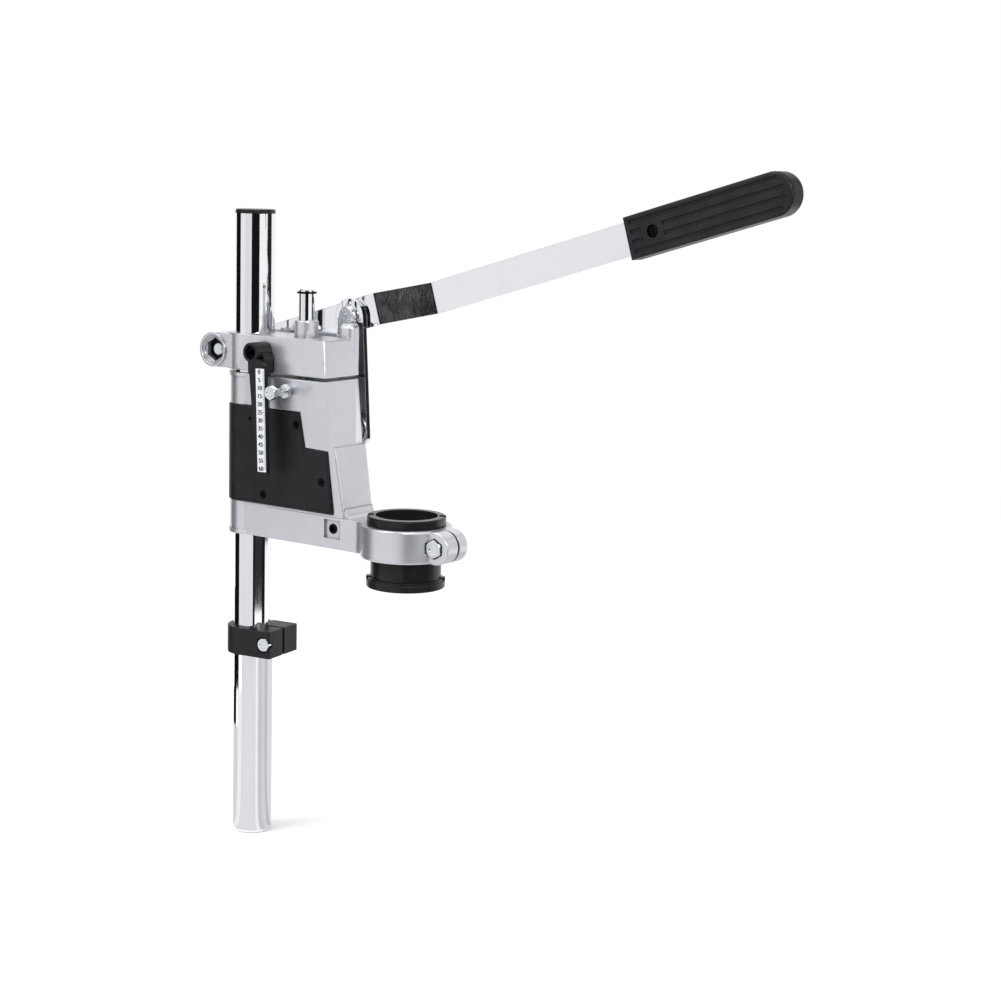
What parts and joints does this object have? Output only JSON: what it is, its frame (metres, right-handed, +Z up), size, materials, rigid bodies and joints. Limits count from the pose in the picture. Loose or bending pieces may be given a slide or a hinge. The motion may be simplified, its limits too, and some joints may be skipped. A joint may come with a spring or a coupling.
{
  "type": "bench drill stand column unit",
  "caption": "Column unit of a bench drill stand: clamped head, lever-fed sliding carriage with a clamping collar for a drill, depth scale and stop collar.",
  "frame": {"origin": "centre of the column's bottom end", "axes": "+Z up the column, +X from the column towards the drill collar, -Y the side that carries the depth scale"},
  "size_m": [0.3826, 0.0957, 0.4344],
  "materials": {
    "chrome_plate": "bright plated steel",
    "silver_casting": "die-cast alloy with satin silver paint",
    "zinc_hardware": "bright zinc-plated fasteners",
    "black_plastic": "black moulded plastic, fine grain",
    "black_gloss": "black moulded plastic, smooth",
    "label_white": "printed scale strip",
    "dark_steel": "blackened steel",
    "spring_steel": "oiled spring wire",
    "bearing_bronze": "sintered bearing bushes"
  },
  "bodies": {
    "column": {"column_tube": "chrome_plate", "column_cap": "black_gloss"},
    "head": {"head_casting": "silver_casting", "lever_pivot_bolt": "zinc_hardware", "lever_pivot_nut": "dark_steel", "lever_pivot_spacer": "zinc_hardware", "lever_pivot_bush": "bearing_bronze", "lever_pivot_washer": "zinc_hardware", "guide_rod": "chrome_plate", "rod_ring_lower": "dark_steel", "rod_ring_upper": "dark_steel", "spring_seat": "zinc_hardware", "return_spring": "spring_steel", "scale_bracket": "black_plastic", "scale_label": "label_white", "scale_screw": "dark_steel"},
    "carriage": {"carriage_casting": "silver_casting", "column_bush_lower": "bearing_bronze", "column_bush_upper": "bearing_bronze", "rod_bush": "bearing_bronze", "side_cover": "black_plastic", "cover_screws": "dark_steel", "drill_adapter": "black_gloss", "collar_bolt": "zinc_hardware", "collar_nut": "zinc_hardware", "arm_set_screw": "dark_steel", "pointer_screw": "zinc_hardware", "pointer_lock_nut": "zinc_hardware", "link_shoulder_screw": "zinc_hardware"},
    "link": {"link_plate": "chrome_plate", "link_top_bolt": "zinc_hardware", "link_top_washer": "zinc_hardware", "link_top_nut": "zinc_hardware"},
    "lever": {"lever_bar": "chrome_plate", "grip_near_half": "black_plastic", "grip_far_half": "black_plastic", "grip_screw": "zinc_hardware", "grip_nut": "zinc_hardware"},
    "stop_collar": {"stop_collar": "black_plastic", "stop_bolt": "zinc_hardware", "stop_nut": "zinc_hardware"}
  },
  "joints": [
    {"name": "head_slide", "type": "slide", "parent": "column", "child": "head", "axis": [0, 0, 1], "range_m": [0, 0.07]},
    {"name": "feed", "type": "slide", "parent": "head", "child": "carriage", "axis": [0, 0, -1], "range_m": [0, 0.06], "stiffness_N_per_m": 800, "springref_m": -0.03, "deforming": ["return_spring"]},
    {"name": "lever_hinge", "type": "hinge", "parent": "head", "child": "lever", "pos_m": [-0.021, 0.02655, 0.3136], "axis": [0, 1, 0], "range_deg": [0, 41.8]},
    {"name": "link_hinge", "type": "hinge", "parent": "carriage", "child": "link", "pos_m": [0.0647, 0.02225, 0.268], "axis": [0, 1, 0], "range_deg": [-3.6, 0]},
    {"name": "stop_slide", "type": "slide", "parent": "column", "child": "stop_collar", "axis": [0, 0, -1], "range_m": [0, 0.1]}
  ],
  "couplings": [
    {"joint": "lever_hinge", "follows": "feed", "rad_per_m": 12.158},
    {"joint": "link_hinge", "follows": "feed", "rad_per_m": -1.0452}
  ]
}
